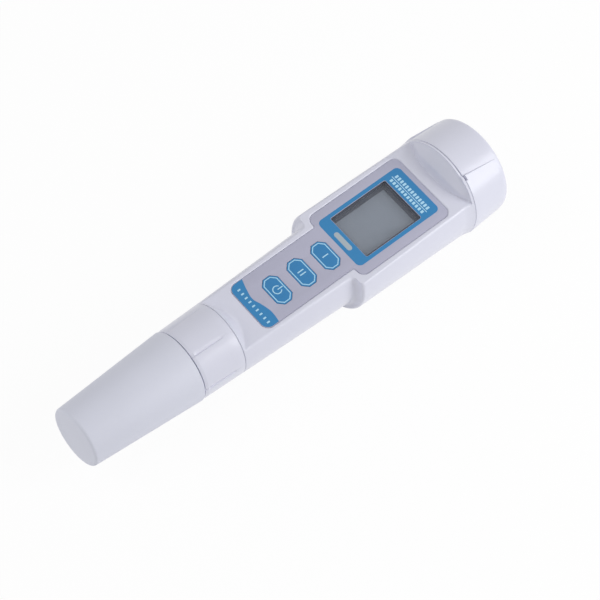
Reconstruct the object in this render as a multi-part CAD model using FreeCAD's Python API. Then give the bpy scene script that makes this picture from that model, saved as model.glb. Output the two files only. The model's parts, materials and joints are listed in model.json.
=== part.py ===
import FreeCAD, Part
import math
import os
from FreeCAD import Vector

# Pocket water tester, in millimetres. While it is modelled, x runs along the probe axis from the tip
# of the protective cap, y points to the left of someone who reads the display with the probe
# towards them, and z points out of the display. Heights count from the probe axis.

# Lengths along the barrel
protective_cap_length = 44.3
cap_seat_gap = 0.4
ring_length = 16.95
seam_gap = 0.3
display_length = 53.2
battery_cap_length = 17.1

# Protective cap
cap_tip_radius = 11.15
cap_rim_radius = 13.8
cap_wall = 1.5
cap_tip_wall = 2.0
cap_tip_edge = 1.1
cap_rim_edge = 0.35

# Lock ring
ring_step = 0.15
ring_wall = 1.95
ring_edge = 0.5
ring_lip_clearance = 0.05
groove_count = 6
groove_offset_deg = 20.0
groove_front_width = 1.4
groove_rear_width = 0.7
groove_depth = 0.7
groove_length = 13.2

# Barrel housing
barrel_start_radius = 14.05
grip_end_radius = 15.5
grip_end_rise = 0.8
grip_length = 48.7
shoulder_foot_fillet = 1.7
shoulder_edge_fillet = 1.1
display_radius = 19.3
display_taper = 0.2
back_flat_depth = 0.9
barrel_wall = 2.0
front_wall = 2.2
seam_edge = 0.3
rim_edge = 0.2

# Flat front face and the ramp at each end of it
face_start_height = 7.97
face_slope_deg = 2.4
rim_land = 0.35
probe_ramp_length = 5.0
scoop_length = 4.1
scoop_side_margin = 2.3
scoop_crown_drop = 2.2
scoop_lip = 0.5
scoop_fillet = 2.0
probe_ramp_fillet = 1.0

# Battery end
battery_axis_rise = 1.65
neck_depth = 2.3
neck_wall = 2.1
neck_length = 9.6
neck_insert_length = 12.0
neck_seal_section = 0.6
neck_seal_offset = 1.3
thread_clearance = 0.08
battery_cap_taper = 0.4
battery_cap_roof = 2.1
battery_cap_recess_inset = 0.7
battery_cap_edge = 1.7
battery_cap_rim_edge = 0.3
grip_sector_height = 0.9
grip_sector_end_height = 0.15
grip_sector_length = 13.8
grip_sector_centre_deg = 71.0
grip_sector_span_deg = 90.0

# Front label, counted along the face from the seam
label_start = 11.4
label_end_margin = 9.2
label_grip_margin = 1.63
label_step_offset = 2.3
label_side_margin = 1.73
label_corner = 2.8
label_notch_radius = 1.0
label_thickness = 0.3
label_sink = 0.12
label_gap = 0.15

# Display window and LCD
window_offset = 8.7
window_length = 25.7
window_half_width = 9.65
window_corner = 0.6
lens_border = 1.0
lens_thickness = 1.0
lcd_depth = 3.2
lcd_border = 1.6
lcd_thickness = 2.2
bezel_wall = 1.2
reflector_thickness = 0.6
zebra_width = 1.2
zebra_length = 16.0

# Keys, counted along the face from the seam
key_places = (24.4, 35.5, 46.3)
key_across = -0.5
key_half_length = 5.9
key_half_width = 3.45
key_corner_cut = 2.0
key_thickness = 0.9
key_gap = 0.12
key_travel = 0.4
key_sink = 0.12
key_post_radius = 1.5
key_post_clearance = 0.06
switch_side = 6.0
switch_height = 3.2
switch_stem_radius = 1.7

# Boards and chassis
board_thickness = 1.2
board_half_width = 10.4
board_start = 10.0
board_end_margin = 9.1
chassis_thickness = 1.8
chassis_rail_height = 3.4
chassis_overlap = 1.0
chip_side = 9.0
chip_height = 1.4
screw_head_radius = 1.9
screw_radius = 0.95
screw_inset = 3.4

# Battery holder, cells and trimmers
cell_radius = 5.8
cell_height = 5.4
cells_in_stack = 2
stack_offset = 6.35
stack_rise = 0.4
well_clearance = 0.15
holder_length = 17.0
holder_gap = 0.25
cell_proud = 0.2
spring_length = 2.4
spring_plate = 0.3
spring_radius = 4.6
spring_tip_radius = 1.4
trimmer_offset = 3.9
trimmer_drop = 9.6
trimmer_side = 4.6
trimmer_depth = 3.6
rotor_radius = 1.5
rotor_clearance = 0.05
rotor_height = 1.1
rotor_slot = 0.5
calibration_board_thickness = 1.0
neck_disc_clearance = 1.5
contact_disc_thickness = 0.5
pressure_pad_inset = 1.9
pressure_pad_bore = 6.0
pressure_pad_gap = 0.1

# Probe module
module_nose_length = 6.0
module_clearance = 0.2
module_flange_inset = 0.4
module_flange_length = 2.4
probe_neck_wall = 1.72
plug_clearance = 0.08
plug_length = 10.2
plug_end_gap = 0.3
bulkhead_thickness = 1.5
probe_neck_length = 9.6
cap_seat_length = 11.0
cap_seat_end_gap = 0.7
cap_seat_clearance = 0.42
cap_seat_wall = 1.4
cap_seal_section = 0.9
cap_seal_offset = 5.0
plug_seal_section = 0.6
plug_seal_offset = 3.6
guard_inset = 1.5
guard_wall = 1.3
guard_reach = 15.0
guard_hoop = 2.2
guard_window_half_width = 3.4
sensor_seat_depth = 1.5
bulb_radius = 3.6
bulb_reach = 12.0
stem_radius = 2.6
pin_radius = 0.8
pin_reach = 8.5
temperature_radius = 1.2
temperature_reach = 10.5
sensor_circle = 5.3
junction_radius = 1.1
junction_reach = 0.8
contact_radius = 0.5
contact_length = 4.6
contact_count = 6
contact_circle = 3.4
contact_clearance = 0.08
socket_radius = 5.0
socket_length = 5.5
sponge_thickness = 5.0
sponge_gap = 0.2

# Radii that follow from a neighbour
display_front_radius = display_radius - display_taper
battery_cap_radius = display_radius
battery_cap_top_radius = battery_cap_radius - battery_cap_taper
neck_radius = battery_cap_radius - neck_depth
neck_bore_radius = neck_radius - neck_wall
neck_disc_radius = neck_bore_radius - neck_disc_clearance
battery_cap_recess_radius = neck_bore_radius - battery_cap_recess_inset
ring_front_radius = cap_rim_radius - ring_step
ring_rear_radius = barrel_start_radius
probe_neck_radius = barrel_start_radius - ring_wall
plug_radius = probe_neck_radius - probe_neck_wall - plug_clearance
module_flange_radius = probe_neck_radius - module_flange_inset
scoop_half_width = display_radius - scoop_side_margin

# Stations along x
ring_start = protective_cap_length + cap_seat_gap
barrel_start = ring_start + ring_length + seam_gap
barrel_length = grip_length + display_length
barrel_end = barrel_start + barrel_length
battery_cap_start = barrel_end + seam_gap
overall_length = battery_cap_start + battery_cap_length
shoulder = barrel_start + grip_length
neck_end = barrel_end + neck_length
probe_neck_start = barrel_start - probe_neck_length
flange_start = probe_neck_start - module_flange_length
plug_end = probe_neck_start + plug_length
socket_start = plug_end + plug_end_gap
cap_seat_start = ring_start - cap_seat_end_gap - cap_seat_length
module_face = cap_seat_start - module_nose_length
holder_end = neck_end - holder_gap
holder_start = holder_end - holder_length
cells_top = holder_end + cell_proud
resting_height = display_radius - back_flat_depth - battery_axis_rise
face_rise = math.tan(math.radians(face_slope_deg))
far = 60.0

cap_slope = (cap_rim_radius - cap_tip_radius) / protective_cap_length
cap_seat_radius = cap_tip_radius + cap_slope * cap_seat_start - cap_wall - cap_seat_clearance
module_radius = cap_seat_radius - cap_seat_wall
guard_radius = module_radius - guard_inset

# Stations along the face
label_display_start = grip_length + label_step_offset
label_end = barrel_length - label_end_margin
window_start = grip_length + window_offset
board_end = barrel_length - board_end_margin
chassis_half_width = board_half_width + chassis_overlap


def face_height(x):
    return face_start_height + (x - barrel_start) * face_rise


def outline(corners):
    # Closed flat wire through corners (a, b, radius); a radius rounds its corner with a tangent arc.
    spans = []
    for i, (a, b, radius) in enumerate(corners):
        here = Vector(a, b, 0)
        before = Vector(corners[i - 1][0], corners[i - 1][1], 0) - here
        after = Vector(corners[(i + 1) % len(corners)][0], corners[(i + 1) % len(corners)][1], 0) - here
        if radius == 0:
            spans.append((here, here, None))
            continue
        before.normalize()
        after.normalize()
        half = before.getAngle(after) / 2
        reach = radius / math.tan(half)
        inward = (before + after).normalize()
        middle = here + inward * (radius / math.sin(half) - radius)
        spans.append((here + before * reach, here + after * reach, middle))
    edges = []
    for i, (first, last, middle) in enumerate(spans):
        if middle is not None:
            edges.append(Part.Arc(first, middle, last).toShape())
        following = spans[(i + 1) % len(spans)][0]
        if last.distanceToPoint(following) > 1e-6:
            edges.append(Part.LineSegment(last, following).toShape())
    return Part.Wire(edges)


def turned(corners, rise=0.0):
    # Solid of revolution about an axis along x at the given height; corners are (x, radius, rounding).
    solid = Part.Face(outline(corners)).revolve(Vector(0, 0, 0), Vector(1, 0, 0), 360)
    solid.translate(Vector(0, 0, rise))
    return solid


def disc(x, radius, length, y=0.0, z=0.0):
    return Part.makeCylinder(radius, length, Vector(x, y, z), Vector(1, 0, 0))


def tube(x, outer, inner, length, rise=0.0):
    return turned([(x, inner, 0), (x + length, inner, 0), (x + length, outer, 0), (x, outer, 0)], rise)


def seal(x, radius, section, rise=0.0):
    return Part.makeTorus(radius, section, Vector(x, 0, rise), Vector(1, 0, 0))


def plate(corners, top, thickness):
    # Flat plate in face coordinates: the outline lies in the face, top is the height of its upper side.
    solid = Part.Face(outline(corners)).extrude(Vector(0, 0, thickness))
    solid.translate(Vector(0, 0, top - thickness))
    return solid


def block(start, end, half_width, top, thickness, corner=0.0):
    corners = [(start, -half_width, corner), (end, -half_width, corner), (end, half_width, corner),
               (start, half_width, corner)]
    return plate(corners, top, thickness)


def post(along, across, radius, top, length):
    return Part.makeCylinder(radius, length, Vector(along, across, top - length), Vector(0, 0, 1))


def on_face(shape):
    # Moves a shape from face coordinates (distance from the seam, across, out of the face) to the barrel.
    placed = shape.copy()
    placed.rotate(Vector(0, 0, 0), Vector(0, 1, 0), -face_slope_deg)
    placed.translate(Vector(barrel_start, 0, face_start_height))
    return placed


def circle_at(x, radius, rise):
    return Part.Wire([Part.makeCircle(radius, Vector(x, 0, rise), Vector(1, 0, 0))])


def edges_at(shape, x):
    return [e for e in shape.Edges
            if abs(e.BoundBox.XMin - x) < 1e-4 and abs(e.BoundBox.XMax - x) < 1e-4]


def ramp_section(x, floor, drop):
    # One end of the scoop ramp: everything below an arc that falls by drop at half_width.
    left = Vector(x, -scoop_half_width, floor - drop)
    right = Vector(x, scoop_half_width, floor - drop)
    arc = Part.Arc(left, Vector(x, 0, floor), right).toShape()
    deep_right = Vector(x, scoop_half_width, -far)
    deep_left = Vector(x, -scoop_half_width, -far)
    sides = [Part.LineSegment(right, deep_right), Part.LineSegment(deep_right, deep_left),
             Part.LineSegment(deep_left, left)]
    return Part.Wire([arc] + [side.toShape() for side in sides])


def face_cutter():
    # What the flat front face and its two ramps take off the round barrel.
    start = barrel_start + rim_land
    end = barrel_end - rim_land
    cutter = on_face(block(-far, barrel_length + far, far, far, far))
    window = Part.makeBox(end - start, 2 * far, 2 * far, Vector(start, -far, -far))
    cutter = cutter.common(window)
    flat = face_height(start + probe_ramp_length)
    fall = (barrel_start_radius - flat) / probe_ramp_length
    ramp_reach = 1.3 * probe_ramp_length
    probe_ramp = Part.makeCone(barrel_start_radius, barrel_start_radius - fall * ramp_reach, ramp_reach,
                               Vector(start, 0, 0), Vector(1, 0, 0))
    foot = end - scoop_length
    lip_radius = display_radius - scoop_lip
    lip_drop = lip_radius - math.sqrt(lip_radius ** 2 - scoop_half_width ** 2)
    scoop = Part.makeLoft([ramp_section(foot, face_height(foot), scoop_crown_drop),
                           ramp_section(end, battery_axis_rise + lip_radius, lip_drop)], True, True)
    return cutter.cut(probe_ramp).cut(scoop)


def barrel_envelope():
    overlap = 4.0
    grip_growth = (grip_end_radius - barrel_start_radius) / grip_length
    grip_lean = grip_end_rise / grip_length
    reach = grip_length + overlap
    grip = Part.makeLoft([circle_at(barrel_start, barrel_start_radius, 0),
                          circle_at(barrel_start + reach, barrel_start_radius + grip_growth * reach,
                                    grip_lean * reach)], True, True)
    display = turned([(shoulder, 0, 0), (barrel_end, 0, 0), (barrel_end, display_radius, 0),
                      (shoulder, display_front_radius, 0)], battery_axis_rise)
    body = grip.fuse(display).removeSplitter()
    wide, narrow = sorted(edges_at(body, shoulder), key=lambda e: -e.Length)[:2]
    step = display_front_radius - battery_axis_rise - grip_end_radius + grip_end_rise
    body = body.makeFillet(min(shoulder_edge_fillet, 0.4 * step), [wide])
    narrow = min(edges_at(body, shoulder), key=lambda e: abs(e.Length - narrow.Length))
    body = body.makeFillet(min(shoulder_foot_fillet, 0.62 * step), [narrow])
    return body


def back_cutter():
    # Everything below the narrow flat that runs along the back of the display section and the battery cap.
    return Part.makeBox(far + overall_length, 2 * far, far, Vector(0, -far, -resting_height - far))


def grip_half_width(along):
    share = along / grip_length
    radius = barrel_start_radius + share * (grip_end_radius - barrel_start_radius)
    rise = face_height(barrel_start + along) - share * grip_end_rise
    return math.sqrt(radius ** 2 - rise ** 2)


def flat_half_width(along):
    rise = face_height(barrel_start + along) - battery_axis_rise
    return math.sqrt(display_radius ** 2 - rise ** 2)


def label_outline(grow=0.0):
    start, end = label_start - grow, label_end + grow
    step = label_display_start - grow
    narrow = grip_half_width(label_start) - label_grip_margin + grow
    wide = flat_half_width(label_end) - label_side_margin + grow
    corner = label_corner
    return [(start, -narrow, corner), (step, -narrow, label_notch_radius), (step, -wide, corner),
            (end, -wide, corner), (end, wide, corner), (step, wide, corner),
            (step, narrow, label_notch_radius), (start, narrow, corner)]


def key_outline(place, grow=0.0):
    length, width = key_half_length + grow, key_half_width + grow
    cut = key_corner_cut + grow * (2 - math.sqrt(2))
    low, high = key_across - length, key_across + length
    return [(place - width, low + cut, 0), (place - width + cut, low, 0),
            (place + width - cut, low, 0), (place + width, low + cut, 0),
            (place + width, high - cut, 0), (place + width - cut, high, 0),
            (place - width + cut, high, 0), (place - width, high - cut, 0)]


def window_outline(grow=0.0):
    start, end = window_start - grow, window_start + window_length + grow
    half = window_half_width + grow
    corner = window_corner + grow
    return [(start, -half, corner), (end, -half, corner), (end, half, corner), (start, half, corner)]


label_floor = label_sink + label_thickness
key_floor = key_sink + key_thickness + key_travel + key_gap
lens_floor = label_floor + lens_thickness
board_top = lcd_depth + lcd_thickness + reflector_thickness
board_floor = board_top + board_thickness
switch_top = board_top - switch_height
cavity_rear_radius = neck_radius + thread_clearance


def creases(shape, start, stop):
    # Edges that cross the flat face between two stations; each may be in two halves.
    margin = 0.5
    least = 0.8 * grip_half_width(0)
    return [e for e in shape.Edges
            if e.BoundBox.XMin > start - margin and e.BoundBox.XMax < stop + margin
            and e.BoundBox.ZLength < margin and e.BoundBox.YLength > least]


def barrel_outside():
    body = barrel_envelope().cut(face_cutter())
    scoop_end = barrel_end - rim_land
    body = body.makeFillet(scoop_fillet, creases(body, scoop_end - scoop_length, scoop_end))
    body = body.makeFillet(probe_ramp_fillet, creases(body, barrel_start, barrel_start + probe_ramp_length))
    body = body.makeFillet(seam_edge, edges_at(body, barrel_start))
    body = body.makeFillet(rim_edge, edges_at(body, barrel_end))
    return body.cut(back_cutter())


def barrel_housing():
    body = barrel_outside()
    body = body.fuse(disc(probe_neck_start, probe_neck_radius, probe_neck_length + barrel_wall))
    grip_inner = barrel_start_radius - barrel_wall
    grip_end_inner = grip_end_radius - barrel_wall
    grip_cavity = Part.makeLoft([circle_at(socket_start + bulkhead_thickness, grip_inner, 0),
                                 circle_at(shoulder, grip_end_inner, grip_end_rise)], True, True)
    step_wall = shoulder + barrel_wall
    display_cavity = turned([(shoulder - barrel_wall, 0, 0), (barrel_end, 0, 0),
                             (barrel_end, cavity_rear_radius, 0), (step_wall, cavity_rear_radius, 0),
                             (shoulder - barrel_wall, grip_end_inner - grip_end_rise, 0)], battery_axis_rise)
    below_face = on_face(block(-far, barrel_length + far, far, -front_wall, 2 * far))
    cavity = grip_cavity.fuse(display_cavity).common(below_face)
    mouth = disc(barrel_end - scoop_lip, cavity_rear_radius, scoop_lip + 1, 0, battery_axis_rise)
    body = body.cut(cavity).cut(mouth)
    body = body.cut(disc(probe_neck_start, plug_radius + plug_clearance, plug_length + plug_end_gap))
    body = body.cut(disc(socket_start, socket_radius + plug_clearance, 2 * bulkhead_thickness))
    cuts = [plate(label_outline(label_gap), far, far + label_floor),
            plate(window_outline(), 0, 2 * front_wall),
            plate(window_outline(lens_border), 0, lens_floor)]
    for place in key_places:
        cuts.append(plate(key_outline(place, key_gap), 0, key_floor))
        cuts.append(post(place, key_across, key_post_radius + key_post_clearance, 0, 2 * front_wall))
    for cut in cuts:
        body = body.cut(on_face(cut))
    return body.removeSplitter()


def front_label():
    label = plate(label_outline(), -label_sink, label_thickness)
    label = label.cut(plate(window_outline(), 0, front_wall))
    for place in key_places:
        label = label.cut(plate(key_outline(place, key_gap), 0, front_wall))
    return on_face(label)


def key_cap(place):
    # Eight-sided pad with the post that reaches the switch below it.
    pad = plate(key_outline(place), -key_sink, key_thickness)
    reach = switch_top - key_sink - key_thickness
    return on_face(pad.fuse(post(place, key_across, key_post_radius, -key_sink - key_thickness, reach)))


def switch_stem(place):
    sunk = 2 * key_travel
    return on_face(post(place, key_across, switch_stem_radius, -switch_top, sunk))


def tact_switches():
    bodies = []
    for place in key_places:
        half = switch_side / 2
        body = block(place - half, place + half, half, -switch_top - 0.05, switch_height - 0.05, 0.4)
        body.translate(Vector(0, key_across, 0))
        well = post(place, key_across, switch_stem_radius + key_post_clearance, 0, switch_top + 4 * key_travel)
        bodies.append(body.cut(well))
    return on_face(Part.makeCompound(bodies))


def display_lens():
    inset = 0.1
    return on_face(plate(window_outline(lens_border - inset), -label_floor, lens_thickness))


def lcd_bezel():
    outer = plate(window_outline(lens_border + bezel_wall), -front_wall, lcd_depth + lcd_thickness - front_wall)
    opening = plate(window_outline(), 0, lcd_depth)
    pocket = plate(window_outline(lcd_border), -lcd_depth, lcd_thickness)
    return on_face(outer.cut(opening).cut(pocket))


def lcd_glass():
    # Two bonded panes; the rear one is shorter, and leaves a ledge for the contact strips.
    pane = lcd_thickness / 2
    inset = 0.1
    front = plate(window_outline(lcd_border - inset), -lcd_depth, pane)
    rear = block(window_start - lcd_border + inset + 2 * zebra_width,
                 window_start + window_length + lcd_border - inset - 2 * zebra_width,
                 window_half_width + lcd_border - inset, -lcd_depth - pane, pane)
    return on_face(front.fuse(rear))


def lcd_reflector():
    inset = 2 * zebra_width + 0.2
    return on_face(block(window_start - lcd_border + inset, window_start + window_length + lcd_border - inset,
                         window_half_width, -lcd_depth - lcd_thickness, reflector_thickness))


def contact_strips():
    top = lcd_depth + lcd_thickness / 2
    strips = []
    for middle in (window_start - lcd_border + zebra_width + 0.1,
                   window_start + window_length + lcd_border - zebra_width - 0.1):
        strips.append(block(middle - zebra_width / 2, middle + zebra_width / 2, zebra_length / 2,
                            -top, board_top - top))
    return on_face(Part.makeCompound(strips))


def main_board():
    board = block(board_start, board_end, board_half_width, -board_top, board_thickness, 1.0)
    for along, across in screw_places():
        board = board.cut(post(along, across, screw_radius + 0.2, 0, far))
    return on_face(board)


def screw_places():
    edge = board_half_width - screw_head_radius - 0.4
    return [(board_start + screw_inset, edge), (board_start + screw_inset, -edge),
            (label_display_start + 1.5, edge), (label_display_start + 1.5, -edge)]


def board_screws():
    screws = []
    for along, across in screw_places():
        head = post(along, across, screw_head_radius, -board_top + 1.2, 1.2)
        shank = post(along, across, screw_radius, -board_top, board_thickness + chassis_thickness)
        slot = block(along - screw_head_radius, along + screw_head_radius, 0.25, -board_top + 1.2, 0.6)
        slot.translate(Vector(0, across, 0))
        screws.append(head.fuse(shank).cut(slot))
    return on_face(Part.makeCompound(screws))


def controller_chip():
    middle = (key_places[1] + key_places[2]) / 2
    half = chip_side / 2
    return on_face(block(middle - half, middle + half, half, -board_floor, chip_height, 0.3))


def inner_chassis():
    # Carrier under the board: a floor window for the chip, side rails and a bulkhead for the socket.
    floor_top = board_floor
    tray = block(board_start, board_end, chassis_half_width, -floor_top, chassis_thickness)
    rails = block(board_start, board_end, chassis_half_width, -floor_top, chassis_rail_height)
    rails = rails.cut(block(board_start - 1, board_end + 1, chassis_half_width - chassis_thickness, 0, far))
    middle = (key_places[1] + key_places[2]) / 2
    half = chip_side / 2 + 0.5
    tray = tray.fuse(rails).cut(block(middle - half, middle + half, half, 0, far))
    for along, across in screw_places():
        tray = tray.cut(post(along, across, screw_radius + 0.02, 0, far))
    return on_face(tray)


def barrel_socket():
    # Female contacts for the probe module, carried by the bulkhead of the barrel.
    body = disc(socket_start, socket_radius, socket_length)
    for y, z in ring_of(contact_count, contact_circle):
        body = body.cut(disc(socket_start, contact_radius + contact_clearance, contact_length, y, z))
    return body


def ring_of(count, radius, first_deg=0.0):
    places = []
    for i in range(count):
        angle = math.radians(first_deg + 360.0 * i / count)
        places.append((-radius * math.sin(angle), radius * math.cos(angle)))
    return places


def neck_sleeve():
    # Threaded neck that carries the battery cap; inside the barrel it is open under the flat face.
    start = barrel_end - neck_insert_length
    sleeve = tube(start, neck_radius, neck_bore_radius, neck_end - start, battery_axis_rise)
    bore_reach = neck_radius - 2 * neck_seal_section - 0.02
    groove_half = neck_seal_section + 0.1
    seal_x = battery_cap_start + neck_seal_offset
    sleeve = sleeve.cut(tube(seal_x - groove_half, neck_radius + 1, bore_reach, 2 * groove_half,
                             battery_axis_rise))
    above = on_face(block(-far, barrel_length + far, far, far, far + front_wall + holder_gap))
    inside = Part.makeBox(far, 2 * far, 2 * far, Vector(barrel_end - scoop_lip - far, -far, -far))
    return sleeve.cut(above.common(inside))


def neck_seal():
    radius = neck_radius - neck_seal_section
    return seal(battery_cap_start + neck_seal_offset, radius, neck_seal_section, battery_axis_rise)


def stack_places():
    rise = battery_axis_rise + stack_rise
    return [(stack_offset, rise), (-stack_offset, rise)]


def trimmer_places():
    rise = battery_axis_rise - trimmer_drop
    return [(trimmer_offset, rise), (-trimmer_offset, rise)]


def square_rod(x, side, length, y, z):
    return Part.makeBox(length, side, side, Vector(x, y - side / 2, z - side / 2))


def battery_holder():
    holder = disc(holder_start, neck_bore_radius - holder_gap, holder_length, 0, battery_axis_rise)
    below = on_face(block(-far, barrel_length + far, far, -front_wall - 2 * holder_gap, 2 * far))
    holder = holder.common(below)
    well_floor = cells_top - cells_in_stack * cell_height - spring_length
    for y, z in stack_places():
        holder = holder.cut(disc(well_floor, cell_radius + well_clearance, far, y, z))
    for y, z in trimmer_places():
        pocket = trimmer_side + 2 * well_clearance
        holder = holder.cut(square_rod(holder_start, pocket, trimmer_depth + well_clearance, y, z))
        holder = holder.cut(disc(holder_start, rotor_radius + 2 * well_clearance, far, y, z))
    return holder


def button_cells():
    # Each stack holds its cells one behind the other, with the narrower cap of a cell towards the spring.
    cells = []
    shoulder_depth = 0.5
    for y, z in stack_places():
        for i in range(cells_in_stack):
            end = cells_top - i * cell_height
            cell = turned([(end - cell_height, 0, 0), (end - cell_height, cell_radius - 1.0, 0.2),
                           (end - cell_height + shoulder_depth, cell_radius - 0.8, 0),
                           (end - cell_height + shoulder_depth, cell_radius, 0.2),
                           (end, cell_radius, 0.2), (end, 0, 0)])
            cell.translate(Vector(0, y, z))
            cells.append(cell)
    return Part.makeCompound(cells)


def cell_springs():
    floor = cells_top - cells_in_stack * cell_height - spring_length
    top = floor + spring_length
    springs = []
    for y, z in stack_places():
        cup = turned([(floor, 0, 0), (floor, spring_radius, 0), (floor + spring_plate, spring_radius, 0),
                      (top, spring_tip_radius, 0), (top, 0, 0), (top - spring_plate, 0, 0),
                      (top - spring_plate, spring_tip_radius - spring_plate, 0),
                      (floor + spring_plate, spring_radius - 3 * spring_plate, 0),
                      (floor + spring_plate, 0, 0)])
        cup.translate(Vector(0, y, z))
        springs.append(cup)
    return Part.makeCompound(springs)


def calibration_board():
    start = holder_start - calibration_board_thickness
    board = disc(start, neck_disc_radius, calibration_board_thickness, 0, battery_axis_rise)
    below = on_face(block(-far, barrel_length + far, far, -front_wall - 2 * holder_gap, 2 * far))
    return board.common(below)


def trimmer_bodies():
    bodies = []
    for y, z in trimmer_places():
        body = square_rod(holder_start, trimmer_side, trimmer_depth, y, z)
        well = disc(holder_start + trimmer_depth - rotor_height, rotor_radius + rotor_clearance, far, y, z)
        bodies.append(body.cut(well))
    return Part.makeCompound(bodies)


def trimmer_rotor(index):
    y, z = trimmer_places()[index]
    start = holder_start + trimmer_depth - rotor_height
    rotor = disc(start, rotor_radius, rotor_height, y, z)
    slot = Part.makeBox(rotor_height / 2, rotor_slot, 2 * rotor_radius + 1,
                        Vector(start + rotor_height / 2, y - rotor_slot / 2, z - rotor_radius - 0.5))
    return rotor.cut(slot)


def turned_sector(corners, rise, centre_deg, span_deg):
    solid = Part.Face(outline(corners)).revolve(Vector(0, 0, 0), Vector(1, 0, 0), span_deg)
    solid.rotate(Vector(0, 0, 0), Vector(1, 0, 0), centre_deg - span_deg / 2 + 90)
    solid.translate(Vector(0, 0, rise))
    return solid


def battery_cap():
    bore = neck_radius + thread_clearance
    step = neck_end + seam_gap
    roof = overall_length - battery_cap_roof
    cap = turned([(battery_cap_start, bore, 0), (battery_cap_start, battery_cap_radius, battery_cap_rim_edge),
                  (overall_length, battery_cap_top_radius, battery_cap_edge), (overall_length, 0, 0),
                  (roof, 0, 0), (roof, battery_cap_recess_radius, 0), (step, battery_cap_recess_radius, 0),
                  (step, bore, 0)], battery_axis_rise)
    end = battery_cap_start + grip_sector_length
    inner = (bore + battery_cap_radius) / 2
    end_radius = battery_cap_radius - battery_cap_taper * grip_sector_length / battery_cap_length
    sector = [(battery_cap_start, inner, 0),
              (battery_cap_start, battery_cap_radius + grip_sector_height, battery_cap_rim_edge),
              (end, end_radius + grip_sector_end_height, 0), (end, inner, 0)]
    for turn in (0, 180):
        cap = cap.fuse(turned_sector(sector, battery_axis_rise, grip_sector_centre_deg + turn,
                                     grip_sector_span_deg))
    return cap.cut(back_cutter()).removeSplitter()


def cap_contact_disc():
    return disc(cells_top, neck_disc_radius, contact_disc_thickness, 0, battery_axis_rise)


def cap_pressure_pad():
    start = cells_top + contact_disc_thickness
    end = overall_length - battery_cap_roof - pressure_pad_gap
    outer = neck_disc_radius - pressure_pad_inset
    return tube(start, outer, pressure_pad_bore, end - start, battery_axis_rise)


def lock_ring():
    end = ring_start + ring_length
    bore = probe_neck_radius + thread_clearance
    lip = module_radius + module_clearance
    lip_end = flange_start - ring_lip_clearance
    ring = turned([(ring_start, lip, 0), (lip_end, lip, 0), (lip_end, bore, 0), (end, bore, 0),
                   (end, ring_rear_radius, ring_edge), (ring_start, ring_front_radius, ring_edge)])
    growth = (ring_rear_radius - ring_front_radius) / ring_length
    overrun = 1.0
    sections = []
    for x, width in ((ring_start - overrun, groove_front_width), (ring_start + groove_length, groove_rear_width)):
        surface = ring_front_radius + growth * (x - ring_start)
        depth = groove_depth * width / groove_front_width
        spread = width * (depth + overrun) / depth / 2
        sections.append(Part.makePolygon([Vector(x, -spread, surface + overrun),
                                          Vector(x, spread, surface + overrun),
                                          Vector(x, 0, surface - depth),
                                          Vector(x, -spread, surface + overrun)]))
    groove = Part.makeLoft(sections, True, True)
    for i in range(groove_count):
        cutter = groove.copy()
        cutter.rotate(Vector(0, 0, 0), Vector(1, 0, 0), groove_offset_deg + 360.0 * i / groove_count)
        ring = ring.cut(cutter)
    return ring


def cap_inner_radius(x):
    return cap_tip_radius + cap_slope * x - cap_wall


def protective_cap():
    return turned([(0, 0, 0), (0, cap_tip_radius, cap_tip_edge),
                   (protective_cap_length, cap_rim_radius, cap_rim_edge),
                   (protective_cap_length, cap_inner_radius(protective_cap_length), 0),
                   (cap_tip_wall, cap_inner_radius(cap_tip_wall), cap_tip_edge), (cap_tip_wall, 0, 0)])


def storage_sponge():
    radius = cap_inner_radius(cap_tip_wall) - sponge_gap
    return turned([(cap_tip_wall, 0, 0), (cap_tip_wall, radius, cap_tip_edge),
                   (cap_tip_wall + sponge_thickness, radius, 0.5), (cap_tip_wall + sponge_thickness, 0, 0)])


def sensor_places():
    # Temperature tube, two conductivity pins and the reference junction around the glass bulb.
    temperature, pin_left, junction, pin_right = ring_of(4, sensor_circle, 45.0)
    return temperature, pin_left, pin_right, junction


def rod(radius, reach, place, rounded):
    # Sensor that stands out of the module's face and is seated in it.
    y, z = place
    tip = module_face - reach
    body = turned([(tip, 0, 0), (tip, radius, rounded), (module_face + sensor_seat_depth, radius, 0),
                   (module_face + sensor_seat_depth, 0, 0)])
    body.translate(Vector(0, y, z))
    return body


def ph_glass():
    tip = module_face - bulb_reach
    stem = disc(tip + bulb_radius, stem_radius, bulb_reach - bulb_radius + sensor_seat_depth)
    return Part.makeSphere(bulb_radius, Vector(tip + bulb_radius, 0, 0)).fuse(stem)


def temperature_tube():
    return rod(temperature_radius, temperature_reach, sensor_places()[0], temperature_radius * 0.9)


def conductivity_pins():
    return Part.makeCompound([rod(pin_radius, pin_reach, place, 0.2) for place in sensor_places()[1:3]])


def reference_junction():
    return rod(junction_radius, junction_reach, sensor_places()[3], 0.2)


def module_housing():
    body = turned([(module_face, 0, 0), (module_face, module_radius, 0.5), (flange_start, module_radius, 0),
                   (flange_start, module_flange_radius, 0), (probe_neck_start, module_flange_radius, 0),
                   (probe_neck_start, plug_radius, 0), (plug_end, plug_radius, 0.4), (plug_end, 0, 0)])
    groove_half = plug_seal_section + 0.1
    middle = probe_neck_start + plug_seal_offset
    body = body.cut(tube(middle - groove_half, plug_radius + 1, plug_radius - 2 * plug_seal_section,
                         2 * groove_half))
    seats = [(stem_radius, (0, 0)), (temperature_radius, sensor_places()[0]), (pin_radius, sensor_places()[1]),
             (pin_radius, sensor_places()[2]), (junction_radius, sensor_places()[3])]
    for radius, (y, z) in seats:
        body = body.cut(disc(module_face, radius, sensor_seat_depth, y, z))
    return body


def plug_seal():
    radius = plug_radius - plug_seal_section
    return seal(probe_neck_start + plug_seal_offset, radius, plug_seal_section)


def contact_pins():
    return Part.makeCompound([disc(plug_end, contact_radius, contact_length, y, z)
                              for y, z in ring_of(contact_count, contact_circle)])


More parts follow.
